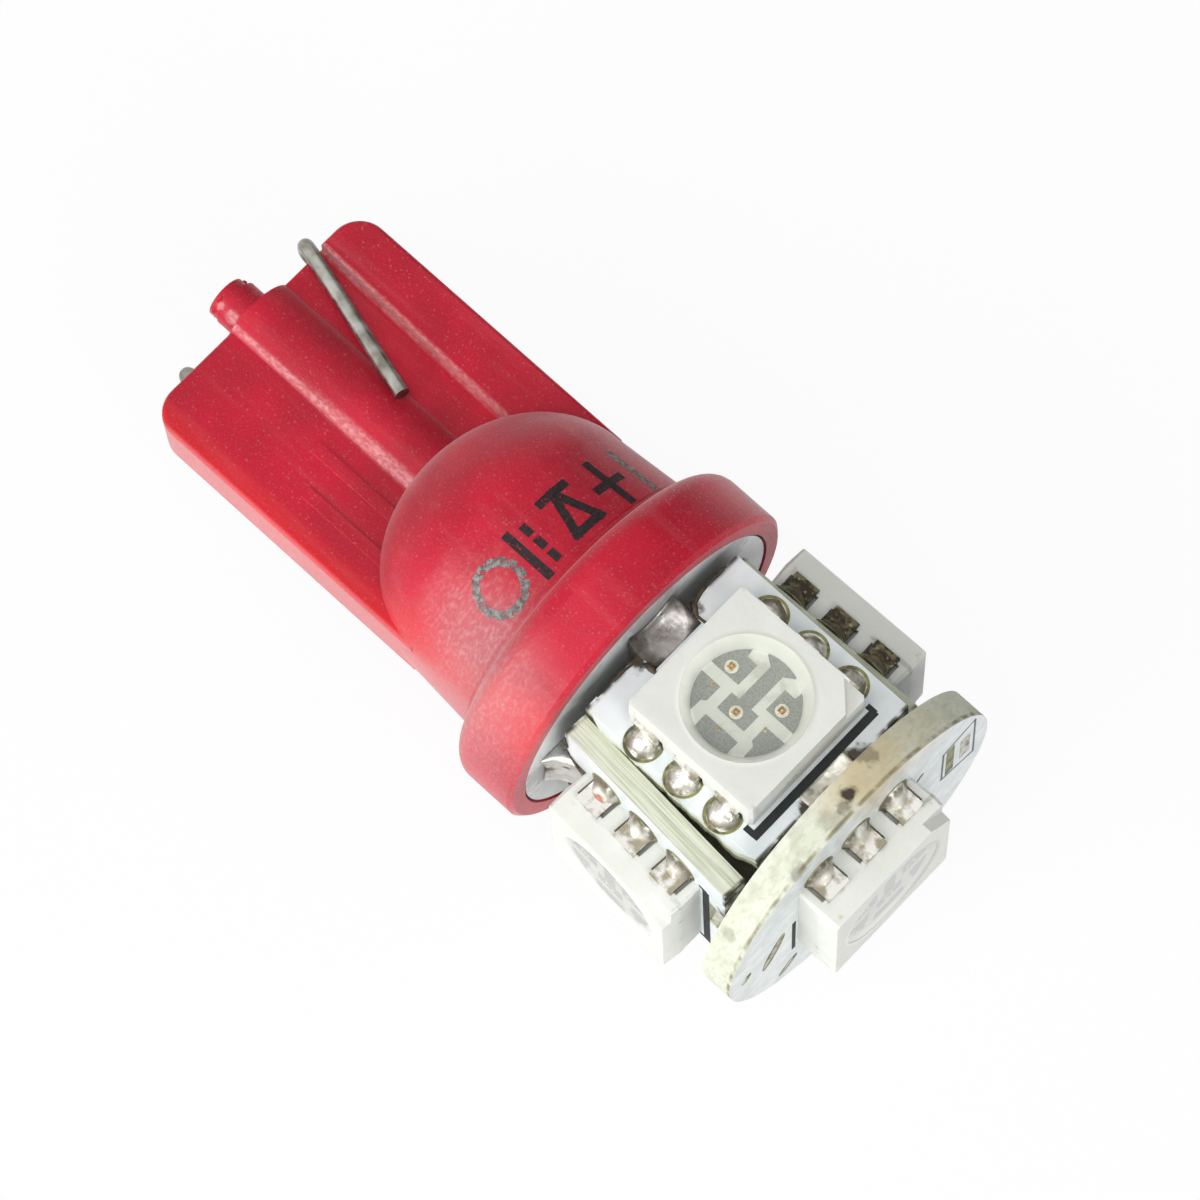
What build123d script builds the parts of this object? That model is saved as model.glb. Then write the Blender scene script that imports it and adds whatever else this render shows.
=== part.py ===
# A capless wedge-base LED bulb, lying on its collar. The bulb's axis runs along +X, from the blade to the
# end emitter, and stations along it are measured from the blade's end. +Z is up, towards the front emitter.
import os
from math import atan2, cos, degrees, radians, sin

from build123d import *

os.makedirs("parts", exist_ok=True)

# Wedge blade
blade_length = 7.3  # blade end to the dome's tip
blade_width = 9.2
blade_thickness = 2.1
blade_corner = 1.0
blade_edge_round = 0.15
tube_radius = 1.45  # moulded tube along the middle of the blade
nub_radius = 0.8
nub_length = 1.25
nub_step = 0.35  # length of the torn, slightly smaller tip
nub_step_radius = 0.7
nub_step_shift = 0.07
channel_depth = 0.5  # wire channel beside the tube
channel_mouth = 2.95  # its outer wall at the blade's end, from the axis
channel_throat = 2.65  # its outer wall at the dome
rib_height = 0.06
rib_width = 0.4
rib_places = ((1.93, 4.5), (3.17, 5.3))  # distance from the axis, station where the rib starts

# Dome, barrel and collar
dome_length = 3.85
barrel_length = 2.8
barrel_radius = 4.87  # at the collar
barrel_draft = 0.22
barrel_wall = 0.85
collar_thickness = 2.55
collar_step = 1.08  # how far the collar stands out of the barrel
collar_back_round = 0.75
collar_front_chamfer = 0.15
collar_wall = 0.65  # wall round the counterbore
cavity_tip = 2.3  # from the dome's tip to the cavity's tip
cavity_taper = 1.2

# Boards
board_thickness = 0.8
seat_clearance = 0.08  # round the bottom board, in its counterbore
bottom_board_sink = 0.05  # below the collar's front
lower_gap = 0.45  # bottom board to the side boards' ends
upper_gap = 0.3
side_board_length = 6.9
side_board_width = 6.5
side_board_reach = 3.85  # axis to a side board's outer face
corner_gap = 0.1  # a side board's edge to its neighbour's inner face
notch_width = 2.0
notch_depth = 0.7
top_board_radius = 5.65
top_board_thickness = 1.1

# Six-lead emitter package
package_size = 5.0
package_height = 1.55
package_corner = 0.12
package_draft = 4.0
lead_pitch = 1.6
lead_width = 0.9
lead_thickness = 0.15
lead_reach = 0.15  # how far the leads stand out of the walls
lead_foot = 0.4
lead_clearance = 0.1
lead_tail = 2.05  # straight part of a lead, from under the wall to the bend
cup_radius = 1.65  # at the lead frame
cup_rim_radius = 1.98
cup_depth = 0.72
resin_sink = 0.03
pin_mark = 0.95  # leg of the cut corner that marks pin 1
pin_mark_depth = 0.35
chip_size = 0.34
chip_height = 0.12
chip_places = ((-1.08, 0.52, 0), (-0.03, -0.42, 0), (0.92, 0.53, 0))
solder_sides = 8  # solder mounds are plain pyramids
solder_radius = 0.45
solder_crown = 0.2  # radius of its flattened top
solder_height = 0.4
solder_lift = 0.1  # centre of a solder mound, outside the lead

# Lead ends in the window, right half: an outer chip pad, an outer bond pad, and half of the middle two
window_edge = 1.2 * cup_radius
window_outlines = (
    (
        (0.55, 0.24),
        (window_edge, 0.24),
        (window_edge, window_edge),
        (1.05, window_edge),
        (0.95, 1.06),
        (0.55, 1.06),
    ),
    (
        (0.9, -0.15),
        (window_edge, -0.15),
        (window_edge, -window_edge),
        (1.07, -window_edge),
        (1.05, -0.85),
        (0.9, -0.73),
    ),
    (
        (0, -0.69),
        (0.54, -0.69),
        (0.54, -0.05),
        (0.24, -0.05),
        (0.24, 1.3),
        (0.55, 1.5),
        (0.55, window_edge),
        (0, window_edge),
    ),
    ((0, -1.05), (0.64, -1.05), (0.64, -window_edge), (0, -window_edge)),
)

# Solder joints between the side boards and the round boards
lower_joint_reach = 0.8
upper_joint_reach = 0.12
joint_sag = 0.12

# Contact wires and resistor
wire_radius = 0.25
wire_hole_clearance = 0.05
wire_loop = 0.42  # how far the fold's centre line passes the blade's end
wire_bend = 0.38
wire_lift = 0.1
wire_end_station = 5.4
wire_end_offset = 1.0
wire_end_height = 1.5
wire_stub = 0.1  # wire end below the bottom board's front face
wire_joint_radius = 0.6
wire_joint_height = 0.5
resistor_radius = 0.85
resistor_waist = 0.72
resistor_length = 3.4
resistor_cap = 0.9
resistor_chamfer = 0.1
resistor_standoff = 1.15  # from the bottom board to the resistor
resistor_clearance = 0.3  # from the hollow's wall to the resistor

# Side boards: name, turn about the axis, splay of the free end, size of the lower solder joint against the
# usual one, and how far the emitter sits off the board's centre, along it and across it
sides = (
    ("front", 0, 0, 0.75, (0.14, -0.17)),
    ("left", 90, 4, 1.25, (-0.08, -0.89)),
    ("back", 180, 0, 1, (0, -0.1)),
    ("right", 270, 1, 1, (0, -0.3)),
)
top_emitter_shift = (-0.25, 0.64)  # along Y and Z

# Radii and the wires' place, that follow from the barrel
collar_radius = barrel_radius + collar_step
dome_radius = barrel_radius - barrel_draft
cavity_radius = dome_radius - barrel_wall
bottom_board_radius = collar_radius - collar_wall - seat_clearance
wire_offset = cavity_radius - resistor_clearance - resistor_radius  # wire holes, from the axis

# Stations along the axis
barrel_start = blade_length + dome_length
collar_back = barrel_start + barrel_length
collar_front = collar_back + collar_thickness
bottom_board_front = collar_front - bottom_board_sink
bottom_board_back = bottom_board_front - board_thickness
side_board_start = bottom_board_front + lower_gap
top_board_back = side_board_start + side_board_length + upper_gap
top_board_front = top_board_back + top_board_thickness
head = top_board_front + package_height

# The blade's end in the part's frame: the box is centred along X and rests on z = 0.
overall_length = nub_length + head
blade_end = nub_length - overall_length / 2
axis_height = collar_radius

axis_line = Axis((blade_end, 0, axis_height), (1, 0, 0))
half_blade = blade_thickness / 2
cup_slope = degrees(atan2(cup_rim_radius - cup_radius, cup_depth))
solder_slope = degrees(atan2(solder_radius - solder_crown, solder_height))
wire_joint_slope = degrees(atan2(wire_joint_radius - 1.2 * wire_radius, wire_joint_height))
lead_plane = package_height - cup_depth  # upper face of the lead frame, above the board
lead_outer = package_size / 2 + lead_reach


on_plane = (Align.CENTER, Align.CENTER, Align.MIN)


def station_plane(station):
    """Plane across the axis; its x is the part's +Y and its y the part's +Z."""
    return Plane(origin=(blade_end + station, 0, axis_height), x_dir=(0, 1, 0), z_dir=(1, 0, 0))


def face_plane(turn):
    """Plane through the axis at the blade's end, x along the axis, turned about it."""
    angle = radians(turn)
    return Plane(origin=(blade_end, 0, axis_height), x_dir=(1, 0, 0), z_dir=(0, -sin(angle), cos(angle)))


def profile_plane():
    """Plane through the axis for revolved profiles: x is the station, y the radius."""
    return Plane(origin=(blade_end, 0, axis_height), x_dir=(1, 0, 0), z_dir=(0, -1, 0))


def keep(part, name):
    part.label = name
    export_step(part, f"parts/{name}.step")


# ---------- wedge base ----------
with BuildPart() as wedge_base:
    # Flat blade with rounded far corners
    with BuildSketch(face_plane(0)) as blade_plan:
        with Locations((barrel_start / 2, 0)):
            Rectangle(barrel_start, blade_width)
        fillet(blade_plan.vertices().group_by(Axis.X)[0], blade_corner)
    extrude(amount=half_blade, both=True)
    long_edges = wedge_base.faces().filter_by(Axis.Z).edges()
    fillet(long_edges, blade_edge_round)

    # Each face has a wire channel on one half and two low ribs on the other
    for turn in (0, 180):
        floor = face_plane(turn).offset(half_blade - channel_depth)
        with BuildSketch(floor):
            with BuildLine():
                Polyline(
                    (-nub_length, 0),
                    (-nub_length, channel_mouth),
                    (0, channel_mouth),
                    (barrel_start, channel_throat),
                    (barrel_start, 0),
                    close=True,
                )
            make_face()
        extrude(amount=channel_depth + blade_thickness, mode=Mode.SUBTRACT)
        with BuildSketch(face_plane(turn).offset(half_blade)):
            for place, start in rib_places:
                with Locations(((start + barrel_start) / 2, -place)):
                    Rectangle(barrel_start - start, rib_width)
        extrude(amount=rib_height)

    # Tube along the blade, and the nub with its torn tip
    with BuildSketch(station_plane(0)):
        Circle(tube_radius)
    extrude(amount=barrel_start)
    with BuildSketch(station_plane(nub_step - nub_length)):
        Circle(nub_radius)
    extrude(amount=nub_length)
    with BuildSketch(station_plane(-nub_length)):
        with Locations((-nub_step_shift, nub_step_shift)):
            Circle(nub_step_radius)
    extrude(amount=nub_step)

    # Dome, barrel and collar in one profile
    with BuildSketch(profile_plane()) as shell:
        with BuildLine():
            EllipticalCenterArc((barrel_start, 0), dome_length, dome_radius, start_angle=90, arc_size=90)
            Line((barrel_start, dome_radius), (collar_back, barrel_radius))
            Line((collar_back, barrel_radius), (collar_back, collar_radius))
            Line((collar_back, collar_radius), (collar_front, collar_radius))
            Line((collar_front, collar_radius), (collar_front, 0))
            Line((collar_front, 0), (blade_length, 0))
        make_face()
        rim = shell.vertices().group_by(Axis.Y)[-1].sort_by(Axis.X)
        fillet(rim[0], collar_back_round)
        front_rim = shell.vertices().group_by(Axis.Y)[-1].sort_by(Axis.X)[-1]
        chamfer(front_rim, collar_front_chamfer)
    revolve(axis=axis_line)

    # Hollow for the resistor, and the counterbore for the bottom board
    with BuildSketch(profile_plane()):
        with BuildLine():
            Polyline(
                (blade_length + cavity_tip, 0),
                (blade_length + cavity_tip, cavity_radius - cavity_taper),
                (blade_length + cavity_tip + cavity_taper, cavity_radius),
                (bottom_board_back, cavity_radius),
                (bottom_board_back, collar_radius - collar_wall),
                (collar_front, collar_radius - collar_wall),
                (collar_front, 0),
                close=True,
            )
        make_face()
    revolve(axis=axis_line, mode=Mode.SUBTRACT)

    # Wire holes from the blade's end into the hollow
    with BuildSketch(station_plane(0)):
        with Locations((wire_offset, 0), (-wire_offset, 0)):
            Circle(wire_radius + wire_hole_clearance)
    extrude(amount=bottom_board_back, mode=Mode.SUBTRACT)
keep(wedge_base.part, "wedge_base")


# ---------- contact wires and resistor ----------
def contact_wire(name, turn, inner_station):
    """Straight through the blade, folded over its end, and back slanted over the channel."""
    low = half_blade - channel_depth + wire_radius + wire_lift
    with BuildPart() as wire:
        with BuildLine(face_plane(turn)) as route:
            FilletPolyline(
                (inner_station, wire_offset, 0),
                (-wire_loop, wire_offset, 0),
                (-wire_loop, wire_offset, low),
                (wire_end_station, wire_end_offset, wire_end_height),
                radius=[wire_bend, wire_bend],
            )
        with BuildSketch(Plane(origin=route.line @ 0, z_dir=route.line % 0)):
            Circle(wire_radius)
        sweep(path=route.line)
    keep(wire.part, name)


resistor_front = bottom_board_back - resistor_standoff
resistor_back = resistor_front - resistor_length
wire_top = bottom_board_front - wire_stub
contact_wire("contact_wire_front", 0, wire_top)
contact_wire("contact_wire_back", 180, resistor_back)

# The resistor stands in the hollow, in line with the back wire's hole.
resistor_axis = Axis((blade_end, -wire_offset, axis_height), (1, 0, 0))
with BuildPart() as series_resistor:
    with BuildSketch(
        Plane(origin=(blade_end, -wire_offset, axis_height), x_dir=(1, 0, 0), z_dir=(0, -1, 0))
    ) as bone:
        with BuildLine():
            Polyline(
                (resistor_back, 0),
                (resistor_back, resistor_radius),
                (resistor_back + resistor_cap, resistor_radius),
                (resistor_back + resistor_cap, resistor_waist),
                (resistor_front - resistor_cap, resistor_waist),
                (resistor_front - resistor_cap, resistor_radius),
                (resistor_front, resistor_radius),
                (resistor_front, 0),
                close=True,
            )
        make_face()
        ends = bone.vertices().group_by(Axis.Y)[-1]
        chamfer(ends, resistor_chamfer)
    revolve(axis=resistor_axis)
keep(series_resistor.part, "series_resistor")

with BuildPart() as resistor_lead:
    with BuildSketch(station_plane(resistor_front)):
        with Locations((-wire_offset, 0)):
            Circle(wire_radius)
    extrude(amount=wire_top - resistor_front)
keep(resistor_lead.part, "resistor_lead")

# ---------- round boards ----------
with BuildPart() as bottom_board:
    with BuildSketch(station_plane(bottom_board_back)):
        Circle(bottom_board_radius)
        with Locations((wire_offset, 0), (-wire_offset, 0)):
            Circle(wire_radius + wire_hole_clearance, mode=Mode.SUBTRACT)
    extrude(amount=board_thickness)
keep(bottom_board.part, "bottom_board")

# Solder on the bottom board's hidden face, round both wires
with BuildPart() as wire_joints:
    with BuildSketch(station_plane(bottom_board_back)):
        with Locations((wire_offset, 0), (-wire_offset, 0)):
            RegularPolygon(wire_joint_radius, solder_sides)
    extrude(amount=-wire_joint_height, taper=wire_joint_slope)
    with BuildSketch(station_plane(bottom_board_back)):
        with Locations((wire_offset, 0), (-wire_offset, 0)):
            Circle(wire_radius)
    extrude(amount=-wire_joint_height, mode=Mode.SUBTRACT)
keep(wire_joints.part, "wire_joints")

with BuildPart() as top_board:
    with BuildSketch(station_plane(top_board_back)):
        Circle(top_board_radius)
    extrude(amount=top_board_thickness)
keep(top_board.part, "top_board")


# ---------- emitters ----------
# Ends of the six leads as the round window shows them: the right half, mirrored
with BuildSketch() as lead_ends:
    for outline in window_outlines:
        with BuildLine():
            Polyline(*outline, close=True)
        make_face()
    mirror(about=Plane.YZ)
    Circle(cup_radius, mode=Mode.INTERSECT)


def emitter(name, seat):
    """One package on the plane of its board: x runs along the lead pitch, y towards the leads."""
    across = Plane(origin=seat.origin, x_dir=seat.y_dir, z_dir=seat.x_dir)

    with BuildPart() as leads:
        with BuildSketch(seat.offset(lead_plane - lead_thickness)):
            with GridLocations(lead_pitch, 2 * lead_outer - lead_tail, 3, 2):
                Rectangle(lead_width, lead_tail)
            Circle(cup_radius, mode=Mode.SUBTRACT)
            add(lead_ends.sketch)
        extrude(amount=lead_thickness)
        for row in (-1, 1):
            for step in (-1, 0, 1):
                with BuildSketch(across.offset(step * lead_pitch)):
                    with Locations((row * (lead_outer - lead_thickness / 2), lead_plane / 2)):
                        Rectangle(lead_thickness, lead_plane)
                    with Locations((row * (lead_outer - lead_foot / 2), lead_thickness / 2)):
                        Rectangle(lead_foot, lead_thickness)
                extrude(amount=lead_width / 2, both=True)
    keep(leads.part, f"{name}_leads")

    with BuildPart(seat.offset(lead_plane)) as chips:
        with Locations(*chip_places):
            Box(chip_size, chip_size, chip_height, align=on_plane)
    keep(chips.part, f"{name}_chips")

    with BuildPart() as resin:
        with BuildSketch(seat.offset(lead_plane)):
            Circle(cup_radius)
        extrude(amount=cup_depth - resin_sink, taper=-cup_slope)
        add(chips.part, mode=Mode.SUBTRACT)
    keep(resin.part, f"{name}_resin")

    with BuildPart() as housing:
        for height in (package_height - lead_plane, -lead_plane):
            with BuildSketch(seat.offset(lead_plane)) as body:
                Rectangle(package_size, package_size)
                chamfer(body.vertices(), package_corner)
            extrude(amount=height, taper=package_draft)
        with BuildSketch(seat.offset(lead_plane)):
            Circle(cup_radius)
        extrude(amount=cup_depth, taper=-cup_slope, mode=Mode.SUBTRACT)
        # Pockets under the leads on both lead sides
        pocket = lead_foot + lead_clearance
        with BuildSketch(seat):
            with GridLocations(lead_pitch, 2 * lead_outer - pocket, 3, 2):
                Rectangle(lead_width + 2 * lead_clearance, pocket)
        extrude(amount=lead_plane - lead_thickness, mode=Mode.SUBTRACT)
        # Cut corner that marks pin 1
        corner = package_size / 2
        with BuildSketch(seat.offset(package_height - pin_mark_depth)):
            with BuildLine():
                Polyline(
                    (corner + pin_mark, corner - 2 * pin_mark),
                    (corner + pin_mark, corner + pin_mark),
                    (corner - 2 * pin_mark, corner + pin_mark),
                    close=True,
                )
            make_face()
        extrude(amount=pin_mark_depth, mode=Mode.SUBTRACT)
        add(leads.part, mode=Mode.SUBTRACT)
    keep(housing.part, f"{name}_housing")

    with BuildPart(seat) as solder:
        with BuildSketch(seat):
            with GridLocations(lead_pitch, 2 * (lead_outer + solder_lift), 3, 2):
                RegularPolygon(solder_radius, solder_sides)
        extrude(amount=solder_height, taper=solder_slope)
        Box(2 * package_size, 2 * lead_outer, 2 * package_height, mode=Mode.SUBTRACT)
    keep(solder.part, f"{name}_solder")


# ---------- tower ----------
board_inner_edge = side_board_reach - board_thickness - corner_gap
board_shift = side_board_width / 2 - board_inner_edge
notch_place = side_board_length - notch_depth / 2


def side_plane(turn, splay):
    """Outer face of a side board, x along the board from its lower end, splayed about that end."""
    turn, splay = radians(turn), radians(splay)
    out = Vector(0, -sin(turn), cos(turn))
    along = Vector(1, 0, 0)
    return Plane(
        origin=Vector(blade_end + side_board_start, 0, axis_height) + out * side_board_reach,
        x_dir=along * cos(splay) + out * sin(splay),
        z_dir=out * cos(splay) - along * sin(splay),
    )


for name, turn, splay, joint_size, shift in sides:
    face = side_plane(turn, splay)
    with BuildPart() as side_board:
        with BuildSketch(face):
            with Locations((side_board_length / 2, board_shift)):
                Rectangle(side_board_length, side_board_width)
            with Locations((notch_depth / 2, board_shift), (notch_place, board_shift)):
                Rectangle(notch_depth, notch_width, mode=Mode.SUBTRACT)
        extrude(amount=-board_thickness)
    keep(side_board.part, f"side_board_{name}")

    # Solder in the notches: x runs along the board and y outwards
    joint_reach = joint_size * lower_joint_reach
    joint_plane = Plane(
        origin=face.origin + face.y_dir * board_shift, x_dir=face.x_dir, z_dir=-face.y_dir
    )
    with BuildPart() as lower_joint:
        with BuildSketch(joint_plane):
            with BuildLine():
                ThreePointArc(
                    (notch_depth, 0),
                    (joint_sag, joint_reach / 4),
                    (-lower_gap, joint_reach),
                )
                Polyline(
                    (-lower_gap, joint_reach),
                    (-2 * lower_gap, joint_reach),
                    (-2 * lower_gap, -board_thickness),
                    (notch_depth, -board_thickness),
                    (notch_depth, 0),
                )
            make_face()
        extrude(amount=notch_width / 2, both=True)
        split(bisect_by=station_plane(bottom_board_front), keep=Keep.TOP)
    keep(lower_joint.part, f"lower_joint_{name}")

    with BuildPart() as upper_joint:
        with BuildSketch(joint_plane):
            with BuildLine():
                top = side_board_length
                ThreePointArc(
                    (top - notch_depth, 0),
                    (top - notch_depth / 2, -joint_sag),
                    (top + upper_gap, upper_joint_reach),
                )
                Polyline(
                    (top + upper_gap, upper_joint_reach),
                    (top + 2 * upper_gap, upper_joint_reach),
                    (top + 2 * upper_gap, -board_thickness),
                    (top - notch_depth, -board_thickness),
                    (top - notch_depth, 0),
                )
            make_face()
        extrude(amount=notch_width / 2, both=True)
        split(bisect_by=station_plane(top_board_back), keep=Keep.BOTTOM)
    keep(upper_joint.part, f"upper_joint_{name}")

    centre = Vector(side_board_length / 2 + shift[0], board_shift + shift[1], 0)
    emitter_origin = face.from_local_coords(centre)
    emitter(f"emitter_{name}", Plane(origin=emitter_origin, x_dir=face.x_dir, z_dir=face.z_dir))

# The end emitter sits a little off the axis, with its leads towards the front and the back.
end_face = station_plane(top_board_front)
end_origin = end_face.from_local_coords(Vector(*top_emitter_shift, 0))
emitter("emitter_top", Plane(origin=end_origin, x_dir=end_face.x_dir, z_dir=end_face.z_dir))
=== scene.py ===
from math import atan2, cos, pi, radians, sin

import bmesh
import bpy
from mathutils import Matrix, Vector, noise


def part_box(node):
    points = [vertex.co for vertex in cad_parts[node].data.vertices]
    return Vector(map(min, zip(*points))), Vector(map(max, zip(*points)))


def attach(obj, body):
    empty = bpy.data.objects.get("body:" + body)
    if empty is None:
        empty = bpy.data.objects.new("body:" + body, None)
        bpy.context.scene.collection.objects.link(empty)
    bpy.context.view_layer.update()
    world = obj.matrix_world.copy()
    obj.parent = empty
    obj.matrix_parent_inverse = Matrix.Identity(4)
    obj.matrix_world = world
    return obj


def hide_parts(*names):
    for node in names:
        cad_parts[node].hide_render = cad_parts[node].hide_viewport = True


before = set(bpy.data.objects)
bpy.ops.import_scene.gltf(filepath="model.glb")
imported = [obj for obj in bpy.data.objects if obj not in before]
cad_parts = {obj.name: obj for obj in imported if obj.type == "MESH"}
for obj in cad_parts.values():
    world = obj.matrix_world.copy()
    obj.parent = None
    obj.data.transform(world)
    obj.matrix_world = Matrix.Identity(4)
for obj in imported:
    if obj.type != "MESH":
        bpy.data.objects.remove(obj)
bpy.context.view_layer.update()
mm = 0.001
inMetres, asIs = Matrix.Scale(mm, 4), Matrix.Identity(4)

# The bulb lies along X. Stations run from the blade's end, in millimetres.
baseLow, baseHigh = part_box("wedge_base")
nubLength = 1.25
bladeEnd = baseLow.x / mm + nubLength
axisHeight = (baseLow.z + baseHigh.z) / 2 / mm


def station(s, y=0.0, z=0.0):
    return Vector((bladeEnd + s, y, axisHeight + z))


# Small helpers for pieces

def newObject(bm, name, material=None):
    mesh = bpy.data.meshes.new(name)
    bm.to_mesh(mesh)
    bm.free()
    if material:
        mesh.materials.append(material)
    made = bpy.data.objects.new(name, mesh)
    bpy.context.scene.collection.objects.link(made)
    return made


def finishPiece(bm, name, material, place, smoothAngle=40):
    bmesh.ops.transform(bm, matrix=place, verts=bm.verts)
    piece = newObject(bm, name, material)
    for face in piece.data.polygons:
        face.use_smooth = True
    piece.data.set_sharp_from_angle(angle=radians(smoothAngle))
    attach(piece, "root")
    return piece


def dress(node, material):
    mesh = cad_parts[node].data
    mesh.materials.clear()
    mesh.materials.append(material)


# Small helpers for shader nodes

def connect(tree, socket, value):
    if isinstance(value, bpy.types.NodeSocket):
        tree.links.new(value, socket)
    elif socket.type == "RGBA" and len(value) == 3:
        socket.default_value = (*value, 1)
    else:
        socket.default_value = value


def put(tree, kind, sockets=None, **settings):
    made = tree.nodes.new(kind)
    for key, value in settings.items():
        setattr(made, key, value)
    for key, value in (sockets or {}).items():
        connect(tree, made.inputs[key], value)
    return made


def maths(tree, operation, a, b=0.0, clamp=False):
    made = put(tree, "ShaderNodeMath", {0: a, 1: b}, operation=operation, use_clamp=clamp)
    return made.outputs[0]


def times(tree, a, b):
    return maths(tree, "MULTIPLY", a, b)


def plus(tree, a, b):
    return maths(tree, "ADD", a, b)


def vectors(tree, operation, a, b=(0, 0, 0)):
    return put(tree, "ShaderNodeVectorMath", {0: a, 1: b}, operation=operation)


def fade(tree, value, low, high):
    made = put(tree, "ShaderNodeMapRange", {"Value": value, "From Min": low, "From Max": high},
               interpolation_type="SMOOTHSTEP")
    return made.outputs["Result"]


def blend(tree, share, first, second, how="MIX"):
    made = put(tree, "ShaderNodeMix", data_type="RGBA", blend_type=how)
    connect(tree, made.inputs[0], share)
    connect(tree, made.inputs[6], first)
    connect(tree, made.inputs[7], second)
    return made.outputs[2]


def objectPlace(tree):
    return put(tree, "ShaderNodeTexCoord").outputs["Object"]


def shade(r, g, b):
    parts = [c / 255 for c in (r, g, b)]
    return tuple(c / 12.92 if c <= 0.04045 else ((c + 0.055) / 1.055) ** 2.4 for c in parts)


def newGroup(name, inputs, outputs):
    group = bpy.data.node_groups.new(name, "ShaderNodeTree")
    for label, kind, value in inputs:
        socket = group.interface.new_socket(label, in_out="INPUT", socket_type=kind)
        if value is not None:
            socket.default_value = value
    for label, kind in outputs:
        group.interface.new_socket(label, in_out="OUTPUT", socket_type=kind)
    start = group.nodes.new("NodeGroupInput")
    end = group.nodes.new("NodeGroupOutput")
    return group, start, end


def useGroup(tree, group, sockets):
    made = tree.nodes.new("ShaderNodeGroup")
    made.node_tree = group
    for key, value in sockets.items():
        connect(tree, made.inputs[key], value)
    return made.outputs[0]


number, vector = "NodeSocketFloat", "NodeSocketVector"


def inMillimetres(group, start):
    return vectors(group, "MULTIPLY", start.outputs["Place"], (1 / mm, 1 / mm, 1 / mm)).outputs[0]


def grainEffect():
    group, start, end = newGroup(
        "grain",
        [("Place", vector, None), ("Stretch", vector, (1, 1, 1)), ("Scale", number, 1.0),
         ("Detail", number, 4.0), ("Low", number, 0.3), ("High", number, 0.7)],
        [("Grain", number)],
    )
    inMm = inMillimetres(group, start)
    pulled = vectors(group, "MULTIPLY", inMm, start.outputs["Stretch"])
    cloud = put(group, "ShaderNodeTexNoise", {
        "Vector": pulled.outputs[0], "Scale": start.outputs["Scale"], "Detail": start.outputs["Detail"]})
    result = fade(group, cloud.outputs["Fac"], start.outputs["Low"], start.outputs["High"])
    group.links.new(result, end.inputs["Grain"])
    return group


def speckEffect():
    group, start, end = newGroup(
        "specks",
        [("Place", vector, None), ("Scale", number, 4.0), ("Size", number, 0.15),
         ("Share", number, 0.3)],
        [("Specks", number)],
    )
    inMm = inMillimetres(group, start)
    cells = put(group, "ShaderNodeTexVoronoi", {"Vector": inMm, "Scale": start.outputs["Scale"]})
    pick = put(group, "ShaderNodeSeparateColor", {"Color": cells.outputs["Color"]})
    chosen = maths(group, "LESS_THAN", pick.outputs[0], start.outputs["Share"])
    sized = times(group, start.outputs["Size"], pick.outputs[1])
    dot = maths(group, "SUBTRACT", sized, cells.outputs["Distance"])
    dot = maths(group, "MULTIPLY", dot, 12.0, clamp=True)
    group.links.new(times(group, dot, chosen), end.inputs["Specks"])
    return group


def spotEffect():
    group, start, end = newGroup(
        "spot",
        [("Place", vector, None), ("Centre", vector, (0, 0, 0)), ("Radius", number, 1.0),
         ("Ragged", number, 0.5), ("Scale", number, 1.5), ("Soft", number, 0.45)],
        [("Spot", number)],
    )
    inMm = inMillimetres(group, start)
    away = vectors(group, "DISTANCE", inMm, start.outputs["Centre"])
    cloud = put(group, "ShaderNodeTexNoise", {
        "Vector": inMm, "Scale": start.outputs["Scale"], "Detail": 5.0})
    wander = maths(group, "SUBTRACT", cloud.outputs["Fac"], 0.5)
    wander = times(group, wander, start.outputs["Ragged"])
    reach = plus(group, away.outputs["Value"], wander)
    share = maths(group, "DIVIDE", reach, start.outputs["Radius"])
    full = fade(group, share, 1.0, maths(group, "SUBTRACT", 1.0, start.outputs["Soft"]))
    group.links.new(full, end.inputs["Spot"])
    return group


def fromCentre(group, start):
    return vectors(group, "SUBTRACT", inMillimetres(group, start), start.outputs["Centre"]).outputs[0]


def ringEffect():
    group, start, end = newGroup(
        "ring",
        [("Place", vector, None), ("Centre", vector, (0, 0, 0)), ("Axis", vector, (0, 0, 1)),
         ("Radius", number, 1.0), ("Width", number, 0.2)],
        [("Ring", number)],
    )
    side = vectors(group, "CROSS_PRODUCT", fromCentre(group, start), start.outputs["Axis"])
    radial = vectors(group, "LENGTH", side.outputs[0])
    off = maths(group, "SUBTRACT", radial.outputs["Value"], start.outputs["Radius"])
    share = maths(group, "DIVIDE", maths(group, "ABSOLUTE", off), start.outputs["Width"])
    group.links.new(fade(group, share, 1.0, 0.2), end.inputs["Ring"])
    return group


def bandEffect():
    group, start, end = newGroup(
        "band",
        [("Place", vector, None), ("Centre", vector, (0, 0, 0)), ("Axis", vector, (0, 0, 1)),
         ("Width", number, 0.2)],
        [("Band", number)],
    )
    height = vectors(group, "DOT_PRODUCT", fromCentre(group, start), start.outputs["Axis"])
    share = maths(group, "DIVIDE", maths(group, "ABSOLUTE", height.outputs["Value"]),
                  start.outputs["Width"])
    group.links.new(fade(group, share, 1.0, 0.2), end.inputs["Band"])
    return group


grain, specks, spot = grainEffect(), speckEffect(), spotEffect()
ring, band = ringEffect(), bandEffect()


def cloudy(tree, place, scale, detail=4.0, low=0.3, high=0.7, stretch=(1, 1, 1)):
    return useGroup(tree, grain, {"Place": place, "Stretch": stretch, "Scale": scale, "Detail": detail,
                                  "Low": low, "High": high})


def dots(tree, place, scale, size, share):
    return useGroup(tree, specks, {"Place": place, "Scale": scale, "Size": size, "Share": share})


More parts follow.
